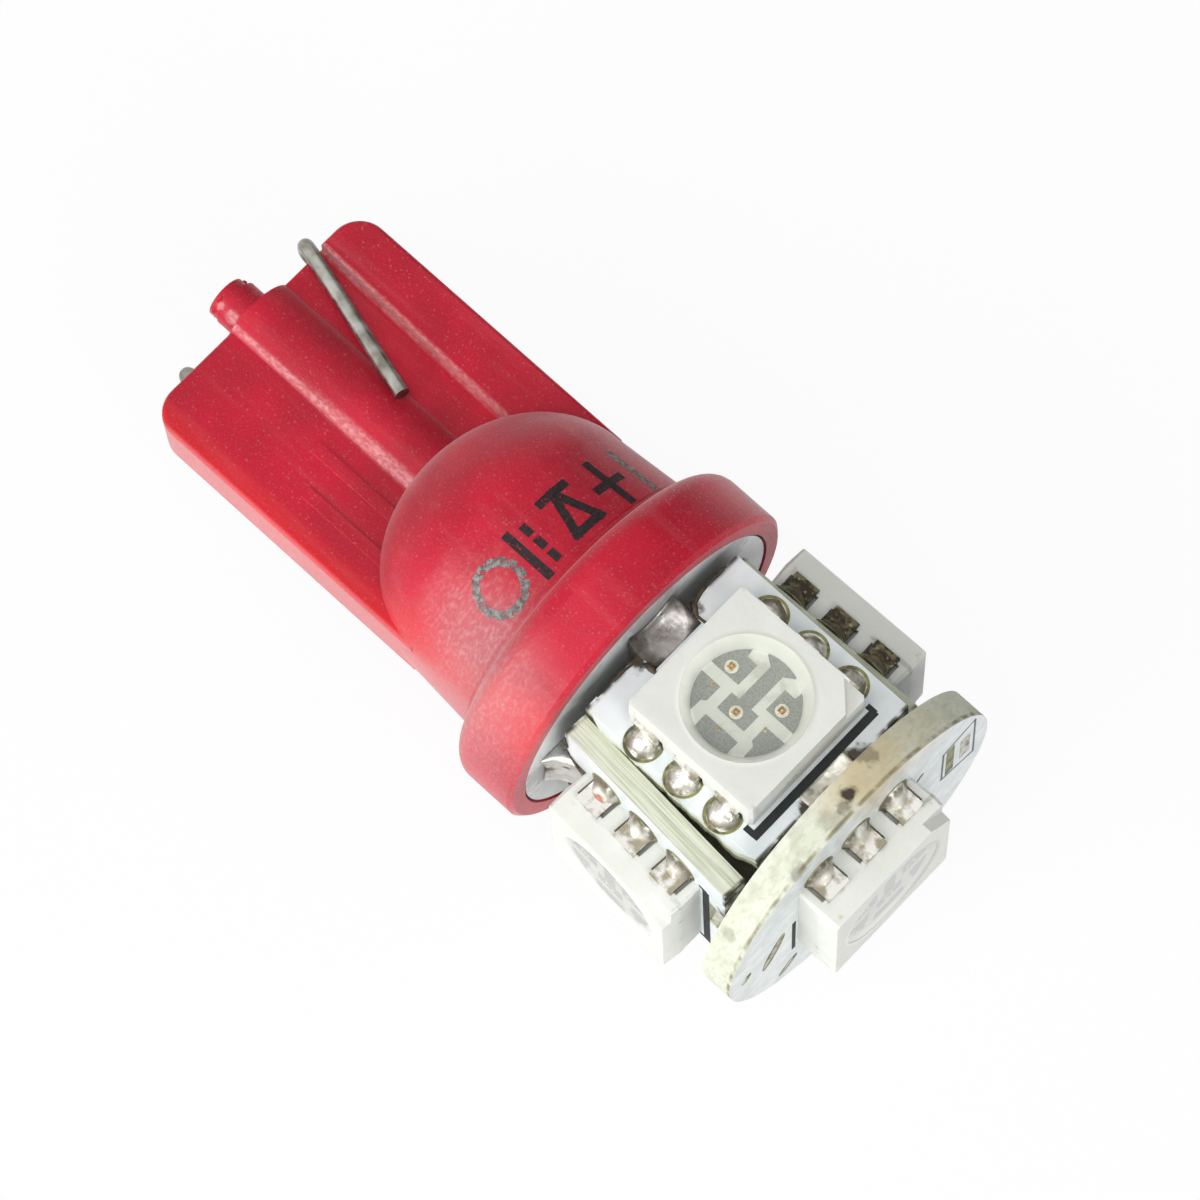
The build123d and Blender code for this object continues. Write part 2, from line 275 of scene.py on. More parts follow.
def patch(tree, place, centre, radius, ragged, scale=1.5, soft=0.45):
    return useGroup(tree, spot, {"Place": place, "Centre": centre, "Radius": radius, "Ragged": ragged,
                                 "Scale": scale, "Soft": soft})


def around(tree, place, centre, axis, radius, width):
    return useGroup(tree, ring, {"Place": place, "Centre": centre, "Axis": axis, "Radius": radius,
                                 "Width": width})


def slab(tree, place, centre, axis, width):
    return useGroup(tree, band, {"Place": place, "Centre": centre, "Axis": axis, "Width": width})


def newMaterial(name):
    material = bpy.data.materials.new(name)
    material.use_nodes = True
    tree = material.node_tree
    surface = next(n for n in tree.nodes if n.type == "BSDF_PRINCIPLED")
    return material, tree, surface


def settle(surface, **values):
    for key, value in values.items():
        surface.inputs[key.replace("_", " ")].default_value = value


def mixShaders(tree, share, first, second):
    output = next(n for n in tree.nodes if n.type == "OUTPUT_MATERIAL")
    either = put(tree, "ShaderNodeMixShader", {0: share, 1: first.outputs[0], 2: second.outputs[0]})
    tree.links.new(either.outputs[0], output.inputs["Surface"])


def seenRays(tree):
    rays = put(tree, "ShaderNodeLightPath")
    seen = maths(tree, "MAXIMUM", rays.outputs["Is Camera Ray"], rays.outputs["Is Glossy Ray"])
    return maths(tree, "MAXIMUM", seen, rays.outputs["Is Transmission Ray"])


def bump(tree, surface, height, strength, distance=0.0001):
    made = put(tree, "ShaderNodeBump", {"Height": height, "Strength": strength, "Distance": distance})
    tree.links.new(made.outputs["Normal"], surface.inputs["Normal"])


moulding = {
    "red": shade(203, 1, 46),
    "deep": shade(176, 0, 38),
    "dust": shade(236, 150, 150),
    # painted highlight colour for the moulding's glint streaks
    "scuffAndHighlight": shade(240, 190, 192),
    # painted sheen colour for the lit -Y side
    "sheenPink": shade(204, 152, 154),
    # painted light: a warmer, brighter red for the lit -Y side
    "litRed": shade(224, 34, 32),
    "roughness": 0.4,
    "tubeFlank": -0.85,  # across the part, where the tube meets the blade
    "channelWall": 2.95,
    "channelSlant": 0.027,
    "bladeEdge": -4.72,
}


def redMoulding():
    material, tree, surface = newMaterial("redMoulding")
    place = objectPlace(tree)

    def across(y, width, axis=(0, 1, 0), z=0.0, s=0.0):
        return slab(tree, place, station(s, y, z), axis, width)

    def both(a, b):
        return times(tree, a, b)

    def over(colour, mask, share, tint):
        return blend(tree, both(mask, share), colour, tint)

    cloud = cloudy(tree, place, 0.35, 3.0)
    colour = blend(tree, cloud, moulding["red"], moulding["deep"])
    # Painted light: the band along the -Y side, which faces the lamps, is a brighter red
    colour = over(colour, across(-4.6, 1.0), 0.5, moulding["litRed"])
    flow = cloudy(tree, place, 1.3, 5.0, 0.52, 0.8, (0.15, 1.6, 1.6))
    colour = over(colour, flow, 0.08, moulding["dust"])
    # Painted highlights and sheen where the lamps glint: tube flank, channel wall, blade edge, nub
    sparkle = cloudy(tree, place, 9.0, 6.0, 0.36, 0.66, (0.6, 1, 1))
    sparkle = plus(tree, both(sparkle, 0.65), 0.35)
    level = across(0, 0.5, (0, 0, 1), 1.15)
    narrow = across(moulding["tubeFlank"], 0.15)
    wide = both(across(moulding["tubeFlank"] + 0.03, 0.3), across(0, 5.5, (1, 0, 0), 0, 7.3))
    flank = both(maths(tree, "MAXIMUM", narrow, wide), level)
    wall = both(across(moulding["channelWall"], 0.17, (moulding["channelSlant"], 1, 0)),
                across(0, 0.75, (0, 0, 1), 0.85))
    paintedHighlights = maths(tree, "MAXIMUM", flank, both(wall, 0.9))
    for where, radius in (((-0.45, -0.56, 0.57), 0.3), ((-0.95, -0.46, 0.52), 0.2)):
        paintedHighlights = maths(tree, "MAXIMUM", paintedHighlights, patch(tree, place, station(*where), radius, 0.2, 5.0))
    paintedHighlights = both(paintedHighlights, sparkle)
    # painted highlights, pinkish-white, laid on by the masks above
    colour = over(colour, paintedHighlights, 0.55, moulding["scuffAndHighlight"])
    # Painted sheen: pinkish-white on the -Y blade edge and on the -Y flank of barrel, dome and collar,
    # where the light glances
    edge = both(across(moulding["bladeEdge"], 0.3), across(0, 2.4, (0, 0, 1)))
    colour = over(colour, edge, 0.45, moulding["sheenPink"])
    barrelSheen = patch(tree, place, station(13.0, -3.1, 3.4), 2.9, 1.6, 1.2, 0.7)
    sheenStreaks = cloudy(tree, place, 9.0, 6.0, 0.4, 0.8, (1, 0.6, 0.6))
    colour = over(colour, both(barrelSheen, plus(tree, both(sheenStreaks, 0.8), 0.2)), 0.5, moulding["sheenPink"])
    flankSheen = patch(tree, place, station(13.9, -4.9, 3.0), 4.2, 1.0, 0.8, 0.9)
    flankSheen = both(flankSheen, plus(tree, both(sheenStreaks, 0.5), 0.5))
    colour = over(colour, flankSheen, 0.82, moulding["sheenPink"])
    seam = across(0, 0.07, (1, 0, 0), 0, 13.7)
    colour = over(colour, seam, 0.3, moulding["deep"])
    dust = dots(tree, place, 3.6, 0.15, 0.4)
    fine = dots(tree, place, 8.5, 0.42, 0.5)
    film = cloudy(tree, place, 14.0, 3.0, 0.5, 0.8)
    colour = over(colour, film, 0.12, moulding["dust"])
    colour = over(colour, fine, 0.15, moulding["dust"])
    colour = over(colour, dust, 0.26, moulding["dust"])
    connect(tree, surface.inputs["Base Color"], colour)
    fineGrain = cloudy(tree, place, 9.0, 3.0)
    rough = plus(tree, both(fineGrain, 0.16), moulding["roughness"])
    connect(tree, surface.inputs["Roughness"], plus(tree, rough, both(paintedHighlights, 0.12)))
    settle(surface, Specular_IOR_Level=0.3, Coat_Weight=0.12, Coat_Roughness=0.3, Sheen_Weight=0.3,
           Sheen_Roughness=0.4, Subsurface_Weight=0.3, Subsurface_Radius=(1.0, 0.1, 0.1),
           Subsurface_Scale=0.0005)
    height = plus(tree, both(film, 0.7), plus(tree, fine, dust))
    height = maths(tree, "SUBTRACT", height, both(seam, 1.5))
    bump(tree, surface, height, 0.6, 0.00002)
    return material


def tinnedWire():
    material, tree, surface = newMaterial("tinnedWire")
    place = objectPlace(tree)
    drawn = cloudy(tree, place, 5.0, stretch=(0.3, 1, 1))
    dull = cloudy(tree, place, 1.6, 5.0)
    colour = blend(tree, dull, shade(182, 181, 174), shade(126, 123, 112))
    connect(tree, surface.inputs["Base Color"], colour)
    settle(surface, Metallic=1.0)
    connect(tree, surface.inputs["Roughness"], plus(tree, times(tree, drawn, 0.2), 0.26))
    bump(tree, surface, drawn, 0.4, 0.00001)
    return material


boardLook = {
    "mask": shade(238, 243, 244),
    "maskShade": shade(222, 230, 231),
    # painted shade for the boards' inner faces
    "backShade": shade(196, 194, 168),
    "fibre": shade(222, 225, 208),
    "weave": shade(202, 208, 184),
    "thread": shade(160, 170, 136),
    "mottle": shade(178, 177, 152),
    "burr": shade(122, 110, 72),
    "stain": shade(58, 44, 30),
    "flux": shade(40, 32, 20),
    "honey": shade(206, 184, 136),
}


def circuitBoard(name, faceNormal, stretch, stains=(), honey=(), burrs=(), mottle=0.0, lie=(0, 0, 0),
                 contrast=1.0, shadedBack=True):
    material, tree, surface = newMaterial(name)
    place = objectPlace(tree)
    turned = put(tree, "ShaderNodeMapping", {"Vector": place, "Rotation": lie}).outputs[0]
    geometry = put(tree, "ShaderNodeNewGeometry")
    along = vectors(tree, "DOT_PRODUCT", geometry.outputs["True Normal"], faceNormal)
    flat = fade(tree, maths(tree, "ABSOLUTE", along.outputs["Value"]), 0.7, 0.85)
    tone = cloudy(tree, place, 0.9, 3.0)
    face = blend(tree, tone, boardLook["mask"], boardLook["maskShade"])
    streak = cloudy(tree, turned, 1.0, 2.0, 0.38, 0.66, stretch)
    threads = cloudy(tree, turned, 5.2, 4.0, 0.48, 0.66, stretch)
    edge = blend(tree, times(tree, streak, 0.8 * contrast), boardLook["fibre"], boardLook["weave"])
    edge = blend(tree, times(tree, threads, 0.55 * contrast), edge, boardLook["thread"])
    blotch = cloudy(tree, place, 1.7, 7.0, 0.46, 0.66)
    edge = blend(tree, times(tree, blotch, mottle), edge, boardLook["mottle"])
    # Painted shade: the inner faces, seen only through the tower's gaps, are darker and yellower
    if shadedBack:
        face = blend(tree, fade(tree, along.outputs["Value"], -0.5, -0.8), face, boardLook["backShade"])
    colour = blend(tree, flat, edge, face)
    for centre, radius, strength in honey:
        mask = patch(tree, place, centre, radius, radius * 1.2, 1.2, 0.8)
        colour = blend(tree, times(tree, mask, strength), colour, boardLook["honey"])
    dirt = cloudy(tree, place, 2.0, 5.0, 0.35, 0.6)
    for centre, axis, width, tint, strength in burrs:
        line = slab(tree, place, centre, axis, width)
        line = times(tree, times(tree, line, dirt), strength)
        colour = blend(tree, line, colour, boardLook[tint])
    for centre, radius, strength in stains:
        mask = patch(tree, place, centre, radius, radius * 1.7, 3.4, 0.6)
        colour = blend(tree, times(tree, mask, strength), colour, boardLook["stain"])
    connect(tree, surface.inputs["Base Color"], colour)
    rough = maths(tree, "SUBTRACT", 0.72, times(tree, flat, 0.36))
    connect(tree, surface.inputs["Roughness"], rough)
    relief = times(tree, streak, maths(tree, "SUBTRACT", 1.0, flat))
    bump(tree, surface, plus(tree, relief, times(tree, tone, 0.2)), 0.6, 0.00003)
    return material


housingLook = {
    "body": (shade(231, 232, 226), shade(225, 227, 220)),
    # window wall tints: light where the wall is shaded, dark where it is lit, painted light and shade
    "wall": (shade(250, 250, 245), shade(196, 198, 189)),
    # painted shade for the window's floor
    "floor": shade(184, 187, 178),
    "parting": shade(146, 142, 128),
    "scuffAndHighlight": shade(178, 170, 140),
    "wallRadius": 1.86,
    "wallWidth": 0.3,
    "litShift": 2.4,
    "litWidth": 4.0,
    "floorWidth": 2.1,
    "partingHeight": 0.83,
    "skirtRadius": 3.5,
    "skirtWidth": 0.55,
}


def whiteHousing(name, seat, dim):
    material, tree, surface = newMaterial(name)
    place = objectPlace(tree)
    middle, axis = seat.to_translation(), seat.to_3x3().col[2]
    tone = cloudy(tree, place, 0.8, 4.0)
    light, dark = (tuple(c * dim for c in tint) for tint in housingLook["body"])
    colour = blend(tree, tone, light, dark)
    rim = around(tree, place, middle, axis, housingLook["wallRadius"], housingLook["wallWidth"])
    # Painted light and shade on the window wall: a dark tint on its lit +Y side and a light tint elsewhere,
    # evening out the lamps
    litSide = middle + Vector((0, housingLook["litShift"], 0))
    lit = slab(tree, place, litSide, (0, 1, 0), housingLook["litWidth"])
    wall = blend(tree, lit, *housingLook["wall"])
    colour = blend(tree, times(tree, rim, 0.9), colour, wall)
    # Painted shade: the window's floor is darker than the white body, down in the resin-filled cup
    floor = around(tree, place, middle, axis, 0.0, housingLook["floorWidth"])
    floor = fade(tree, floor, 0.02, 0.3)
    colour = blend(tree, times(tree, floor, 0.95), colour, housingLook["floor"])
    parting = slab(tree, place, middle + axis * housingLook["partingHeight"], axis, 0.12)
    smudge = cloudy(tree, place, 1.4, 6.0, 0.5, 0.66)
    parting = times(tree, parting, smudge)
    colour = blend(tree, times(tree, parting, 0.5), colour, housingLook["parting"])
    # Scuffs at the housing's corners
    skirt = around(tree, place, middle, axis, housingLook["skirtRadius"], housingLook["skirtWidth"])
    scuffAndHighlight = cloudy(tree, place, 3.2, 6.0, 0.55, 0.75)
    scuffAndHighlight = times(tree, scuffAndHighlight, skirt)
    colour = blend(tree, times(tree, scuffAndHighlight, 0.6), colour, housingLook["scuffAndHighlight"])
    connect(tree, surface.inputs["Base Color"], colour)
    fine = cloudy(tree, place, 7.0)
    connect(tree, surface.inputs["Roughness"], plus(tree, times(tree, fine, 0.12), 0.42))
    settle(surface, Specular_IOR_Level=0.35, Subsurface_Weight=0.25, Subsurface_Radius=(1.0, 0.95, 0.85),
           Subsurface_Scale=0.0004)
    bump(tree, surface, plus(tree, fine, scuffAndHighlight), 0.25, 0.000012)
    return material


leadLook = {
    "matt": (shade(132, 135, 128), shade(110, 113, 106)),
    "flakes": shade(168, 160, 132),
    "insideWidth": 2.6,
}


def leadMetal(name, seat, bright, dull, crust):
    material, tree, surface = newMaterial(name)
    place = objectPlace(tree)
    fine = cloudy(tree, place, 16.0, 2.0)
    cloud = cloudy(tree, place, 2.3 + 1.2 * crust, 5.0, 0.4, 0.6)
    inside = around(tree, place, seat.to_translation(), seat.to_3x3().col[2], 0.0, leadLook["insideWidth"])
    inside = fade(tree, inside, 0.02, 0.2)
    matt = blend(tree, fine, *leadLook["matt"])
    leg = blend(tree, cloud, bright, dull)
    flakes = dots(tree, place, 7.0, 0.5, 0.5)
    leg = blend(tree, times(tree, flakes, 0.5 * crust), leg, leadLook["flakes"])
    connect(tree, surface.inputs["Base Color"], blend(tree, inside, leg, matt))
    metal = times(tree, maths(tree, "SUBTRACT", 1.0, inside), 0.95 - 0.5 * crust)
    connect(tree, surface.inputs["Metallic"], plus(tree, metal, 0.05))
    rough = plus(tree, times(tree, cloud, 0.2), 0.17 + 0.25 * crust)
    connect(tree, surface.inputs["Roughness"], plus(tree, rough, times(tree, inside, 0.3)))
    lumps = times(tree, cloud, 2.0 * crust)
    lumps = plus(tree, times(tree, fine, inside), lumps)
    bump(tree, surface, lumps, 0.3 + 0.3 * crust, 0.000008 + 0.00003 * crust)
    return material


solderLook = {
    "scorch": shade(146, 84, 60),
    "scorchRadius": 0.3,
    "skirt": 0.34,
    "farShift": 2.8,
    "farWidth": 3.0,
}


def solderMetal(name, bright, burnt, rough, share, lumps=0.5, seat=None, scorch=None, heart=None,
                clear=1.05):
    material, tree, surface = newMaterial(name)
    place = objectPlace(tree)
    cloud = cloudy(tree, place, 2.2, 5.0)
    flux = cloudy(tree, place, 1.3, 6.0, 0.72 - share, 0.86 - share)
    colour = blend(tree, cloud, bright, tuple(c * 0.75 for c in bright))
    if seat:
        skirt = slab(tree, place, seat.to_translation(), seat.to_3x3().col[2], solderLook["skirt"])
        ragged = cloudy(tree, place, 2.6, 6.0, 0.36, 0.56)
        flux = maths(tree, "MAXIMUM", flux, times(tree, skirt, ragged))
    if heart:
        clean = patch(tree, place, heart, clear, 0.6, 2.2, 0.3)
        flux = maths(tree, "MAXIMUM", flux, maths(tree, "SUBTRACT", 1.0, clean))
    colour = blend(tree, times(tree, flux, 0.85), colour, burnt)
    if scorch:
        mark = patch(tree, place, scorch, solderLook["scorchRadius"], 0.3)
        colour = blend(tree, times(tree, mark, 0.9), colour, solderLook["scorch"])
    connect(tree, surface.inputs["Base Color"], colour)
    connect(tree, surface.inputs["Metallic"], maths(tree, "SUBTRACT", 1.0, times(tree, flux, 0.7)))
    crumbs = cloudy(tree, place, 7.0, 4.0)
    frost = plus(tree, times(tree, crumbs, 0.2), times(tree, flux, 0.3))
    if seat:
        farSide = seat @ Vector((0, solderLook["farShift"], 0))
        far = slab(tree, place, farSide, seat.to_3x3().col[1], solderLook["farWidth"])
        frost = plus(tree, frost, times(tree, far, 0.22))
    connect(tree, surface.inputs["Roughness"], plus(tree, frost, rough))
    wave = cloudy(tree, place, 4.5, 3.0, 0.2, 0.8)
    bump(tree, surface, wave, lumps, 0.00003)
    return material


resinLook = {"light": (0.985, 0.985, 0.975), "dark": (0.96, 0.965, 0.945)}


def clearResin(name, coat):
    material, tree, surface = newMaterial(name)
    place = objectPlace(tree)
    cloud = cloudy(tree, place, 1.5)
    connect(tree, surface.inputs["Base Color"], blend(tree, cloud, resinLook["light"], resinLook["dark"]))
    settle(surface, Transmission_Weight=1.0, IOR=1.5, Roughness=0.08, Coat_Weight=coat, Coat_Roughness=0.35)
    bump(tree, surface, cloud, 0.1, 0.00003)
    # Shadow rays pass straight through, so the window's floor stays lit
    rays = put(tree, "ShaderNodeLightPath")
    clear = put(tree, "ShaderNodeBsdfTransparent", {"Color": resinLook["dark"]})
    mixShaders(tree, rays.outputs["Is Shadow Ray"], surface, clear)
    return material


def plainPaint(name, first, second, rough, scale=2.5, metallic=0.0, grime=None):
    material, tree, surface = newMaterial(name)
    place = objectPlace(tree)
    cloud = cloudy(tree, place, scale, 5.0)
    colour = blend(tree, cloud, first, second)
    if grime:
        dirt = cloudy(tree, place, 2.4, 6.0, 0.5, 0.62)
        colour = blend(tree, times(tree, dirt, 0.8), colour, grime)
    connect(tree, surface.inputs["Base Color"], colour)
    settle(surface, Metallic=metallic)
    connect(tree, surface.inputs["Roughness"], plus(tree, times(tree, cloud, 0.15), rough))
    bump(tree, surface, cloud, 0.3, 0.00001)
    return material


def wornInk(name, wear, dark, pale):
    material, tree, surface = newMaterial(name)
    place = objectPlace(tree)
    cloud = cloudy(tree, place, 6.0, 4.0)
    connect(tree, surface.inputs["Base Color"], blend(tree, cloud, dark, pale))
    gaps = cloudy(tree, place, 9.0, 6.0, wear - 0.1, wear + 0.08)
    connect(tree, surface.inputs["Alpha"], gaps)
    settle(surface, Roughness=0.5, Specular_IOR_Level=0.3)
    return material


print("materials")
red = redMoulding()
wireMetal = tinnedWire()
greySolder = solderMetal("greySolder", shade(184, 180, 177), shade(84, 70, 56), 0.2, 0.14, 0.2)
creamSolder = solderMetal("creamSolder", shade(232, 228, 214), shade(96, 82, 68), 0.34, 0.16, 0.3)
gold = plainPaint("goldWire", shade(222, 200, 136), shade(190, 160, 96), 0.3, 9.0, 1.0)
chipTop = plainPaint("chipTop", shade(190, 148, 84), shade(104, 76, 44), 0.35, 9.0, 0.3)
chipHalo = plainPaint("chipHalo", shade(206, 204, 190), shade(186, 183, 166), 0.4, 8.0)
silkGrey = plainPaint("silkGrey", shade(84, 90, 94), shade(124, 130, 132), 0.6, 5.0)
silkBlack = plainPaint("silkBlack", shade(10, 11, 12), shade(34, 37, 38), 0.6, 5.0)
padOlive = plainPaint("padOlive", shade(146, 148, 88), shade(112, 114, 68), 0.4, 4.0,
                      grime=shade(60, 52, 30))
padTin = plainPaint("padTin", shade(206, 205, 194), shade(170, 168, 152), 0.34, 6.0, 0.7,
                    grime=shade(66, 56, 34))
lacquer = plainPaint("resistorLacquer", shade(196, 170, 124), shade(178, 150, 104), 0.3)

# CAD nodes that stay get a material of their own
print("boards and moulding")
dress("wedge_base", red)
for wire in ("contact_wire_front", "contact_wire_back", "resistor_lead"):
    dress(wire, wireMetal)
dress("series_resistor", lacquer)
dress("wire_joints", greySolder)

tower = {
    "start": 16.9,
    "length": 6.9,
    "thickness": 0.8,
    "reach": 3.85,
    "shift": 0.3,
    "topFront": 25.2,
    "topShift": (-0.25, 0.64),
}
sides = {
    "front": {"turn": 0, "splay": 0, "shift": (0.14, -0.17)},
    "left": {"turn": 90, "splay": 4, "shift": (-0.08, -0.89)},
    "back": {"turn": 180, "splay": 0, "shift": (0, -0.1)},
    "right": {"turn": 270, "splay": 1, "shift": (0, -0.3)},
}


def boardPlace(turn, splay):
    turn, splay = radians(turn), radians(splay)
    out = Vector((0, -sin(turn), cos(turn)))
    along = Vector((1, 0, 0))
    origin = station(tower["start"]) + out * tower["reach"]
    xAxis = along * cos(splay) + out * sin(splay)
    zAxis = out * cos(splay) - along * sin(splay)
    yAxis = zAxis.cross(xAxis)
    place = Matrix((xAxis, yAxis, zAxis)).transposed().to_4x4()
    place.translation = origin
    return place


boards = {name: boardPlace(s["turn"], s["splay"]) for name, s in sides.items()}
seats = {}
for name, s in sides.items():
    u, v = s["shift"]
    seats[name] = boards[name] @ Matrix.Translation((tower["length"] / 2 + u, tower["shift"] + v, 0))
topPlace = Matrix(((0, 0, 1), (1, 0, 0), (0, 1, 0))).to_4x4()
topPlace.translation = station(tower["topFront"], *tower["topShift"])
seats["top"] = topPlace


boardEnds = {"burr": 0.13, "flux": (0.2, 0.14), "stain": (0.55, 0.48), "aside": 1.05}


def dressSideBoard(name, place):
    stains, burrs = [], []
    along = place.to_3x3().col[0]
    for u, flux, reach in zip((0.0, tower["length"]), boardEnds["flux"], boardEnds["stain"]):
        end = place @ Vector((u, 0, 0))
        burrs.append((end, along, boardEnds["burr"], "burr", 0.8))
        burrs.append((end, along, flux, "flux", 0.9))
        for v in (-boardEnds["aside"], boardEnds["aside"]):
            stains.append((place @ Vector((u, v + tower["shift"], 0)), reach, 1.0))
    turn = place.to_3x3()
    dress(f"side_board_{name}", circuitBoard(
        f"board{name.capitalize()}", turn.col[2], (0.09, 0.3, 3.4), stains, burrs=burrs, mottle=0.1,
        lie=tuple(turn.inverted().to_euler())))


print("boards")
for name, place in boards.items():
    dressSideBoard(name, place)

roundBoards = {  # place, reach and strength of each mark
    "bottomStains": (((16.4, 0.4, 4.2), 1.5, 0.4), ((16.4, -4.2, 0.2), 1.5, 0.35),
                     ((16.4, 3.6, 2.6), 1.2, 0.3), ((16.4, -2.6, 4.0), 1.0, 0.25)),
    "topStains": (((24.7, -0.05, 5.65), 0.34, 1.0), ((24.8, -0.4, 5.62), 0.3, 0.6),
                  ((24.85, -0.95, 5.56), 0.5, 0.3), ((24.15, 1.2, 5.5), 0.55, 0.5),
                  ((25.15, -2.6, 5.0), 0.4, 0.5), ((24.5, -4.9, 2.8), 0.35, 0.3)),
    "topHoney": (((24.5, 0.9, 5.6), 2.4, 0.65), ((24.6, 3.0, 4.8), 1.8, 0.22)),
    "topBurr": (25.12, 0.1),
    "weave": (1.6, 0.7, 0.7),
}


def dressRoundBoards():
    along, weave = (1, 0, 0), roundBoards["weave"]
    low, high, honey = ([(station(*where), reach, strength) for where, reach, strength in roundBoards[key]]
                        for key in ("bottomStains", "topStains", "topHoney"))
    dress("bottom_board", circuitBoard("boardBottom", along, weave, low, mottle=0.5, contrast=0.5))
    edge, width = roundBoards["topBurr"]
    burrs = [(station(edge), along, width, "burr", 0.8)]
    dress("top_board", circuitBoard("boardTop", along, weave, high, honey, burrs, mottle=0.38,
                                    contrast=0.5, shadedBack=False))


dressRoundBoards()


burrEdge = {
    "low": 0.25,
    "high": 6.7,
    "width": 0.19,
    "ragged": 0.06,
    "thick": 0.7,
    "side": -2.95,
    "overlap": 0.1,
    "taper": 0.5,
    "cuts": 90,
    "waves": (2.4, 9),
}


def frontBurr():
    # The board was snapped from its panel, and a ragged burr is left along one edge
    bm = bmesh.new()
    length = burrEdge["high"] - burrEdge["low"]
    bmesh.ops.create_cube(bm, size=1)
    cuts = [e for e in bm.edges if abs(e.verts[0].co.x - e.verts[1].co.x) > 0.5]
    bmesh.ops.subdivide_edges(bm, edges=cuts, cuts=burrEdge["cuts"], use_grid_fill=True)
    bmesh.ops.scale(bm, vec=(length, 1, burrEdge["thick"]), verts=bm.verts)
    slow, fast = burrEdge["waves"]
    for vert in bm.verts:
        outer = vert.co.y < 0
        wave = noise.noise(Vector((vert.co.x * slow, vert.co.z, 3)))
        wave += 0.5 * noise.noise(Vector((vert.co.x * fast, 7, 1)))
        ends = max(0, min(1, (length / 2 - abs(vert.co.x)) / burrEdge["taper"]))
        width = burrEdge["width"] + burrEdge["ragged"] * wave
        vert.co.y = -width * ends if outer else burrEdge["overlap"]
    bmesh.ops.translate(bm, vec=(burrEdge["low"] + length / 2, burrEdge["side"], -tower["thickness"] / 2),
                        verts=bm.verts)
    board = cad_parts["side_board_front"].data.materials[0]
    finishPiece(bm, "edge_burr_front", board, inMetres @ boards["front"], 30)


frontBurr()


package = {
    "bevel": 0.05,
    "sharp": 35,
    "flat": 2,
    "smooth": 12,
    "resinCoat": {"top": 1.0, "left": 1.0},
    # the right emitter faces +Y, away from the lamps: painted shade dims its housing and darkens its legs
    # and beads, and its legs are crusted
    "wornAndShaded": ("right",),
    "dim": {"clean": 1.0, "wornAndShaded": 0.88},
    "legs": {
        "clean": (shade(238, 236, 229), shade(156, 148, 128), 0.0),
        "wornAndShaded": (shade(98, 90, 64), shade(42, 37, 25), 1.0),
    },
    "beads": {
        "clean": (shade(222, 220, 210), shade(88, 76, 46), 0.2, 0.1),
        "wornAndShaded": (shade(116, 108, 84), shade(50, 42, 28), 0.3, 0.22),
    },
}


def wearAndShadeOf(name):
    return "wornAndShaded" if name in package["wornAndShaded"] else "clean"


def mergedCopy(node):
    bm = bmesh.new()
    bm.from_mesh(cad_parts[node].data)
    bmesh.ops.remove_doubles(bm, verts=bm.verts, dist=1e-7)
    return bm


def softHousing(name, seat):
    node = f"emitter_{name}_housing"
    bm = mergedCopy(node)
    bmesh.ops.dissolve_limit(bm, angle_limit=radians(package["flat"]), verts=bm.verts, edges=bm.edges)
    least = radians(package["sharp"])
    sharp = [e for e in bm.edges if len(e.link_faces) == 2 and e.calc_face_angle() > least]
    bmesh.ops.bevel(bm, geom=sharp, offset=package["bevel"] * mm, offset_type="OFFSET", segments=2,
                    profile=0.5, affect="EDGES", material=-1, clamp_overlap=True)
    # the right emitter's housing is dimmed as painted shade
    material = whiteHousing(f"housing{name.capitalize()}", seat, package["dim"][wearAndShadeOf(name)])
    piece = finishPiece(bm, f"housing_{name}", material, asIs,
                        package["smooth"])
    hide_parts(node)


resinFill = {"floor": 0.8, "top": 1.52, "low": 1.67, "high": 1.975}


def resinPiece(name, seat):
    bm = bmesh.new()
    depth = resinFill["top"] - resinFill["floor"]
    bmesh.ops.create_cone(bm, cap_ends=True, segments=64, radius1=resinFill["low"],
                          radius2=resinFill["high"], depth=depth)
    bmesh.ops.translate(bm, verts=bm.verts, vec=(0, 0, resinFill["floor"] + depth / 2))
    coat = package["resinCoat"].get(name, 0.2)
    piece = finishPiece(bm, f"resin_{name}", clearResin(f"resin{name.capitalize()}", coat),
                        inMetres @ seat, 30)
    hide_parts(f"emitter_{name}_resin")


def disc(bm, radius, height, where, segments=32):
    made = bmesh.ops.create_cone(bm, cap_ends=True, segments=segments, radius1=radius, radius2=radius,
                                 depth=height)["verts"]
    bmesh.ops.translate(bm, verts=made, vec=Vector(where) + Vector((0, 0, height / 2)))


def strip(bm, start, end, width, height, base=0.0):
    start, end = Vector(start), Vector(end)
    run = end - start
    made = bmesh.ops.create_cube(bm, size=1)["verts"]
    turn = Matrix.Rotation(atan2(run.y, run.x), 4, "Z")
    place = Matrix.Translation(((start + end) / 2).to_3d() + Vector((0, 0, base + height / 2))) @ turn
    place = place @ Matrix.Diagonal((run.length + width, width, height, 1))
    bmesh.ops.transform(bm, matrix=place, verts=made)


dice = {
    "chips": ((-1.08, 0.52), (-0.03, -0.42), (0.92, 0.53)),
    "bonds": ((-1.13, -0.28), (-0.04, -1.15), (0.97, -0.26)),
    "leadTop": 0.83,
    "chipTop": 0.95,
    "chip": 0.2,
    "halo": 0.21,
    "chipBevel": 0.03,
    "glue": 0.012,
    "wire": 0.004,
    "wireSides": 8,
    "wireSteps": 14,
    "loop": 0.4,
    "sink": 0.05,
    "chipBall": 0.045,
    "bondBall": 0.055,
}


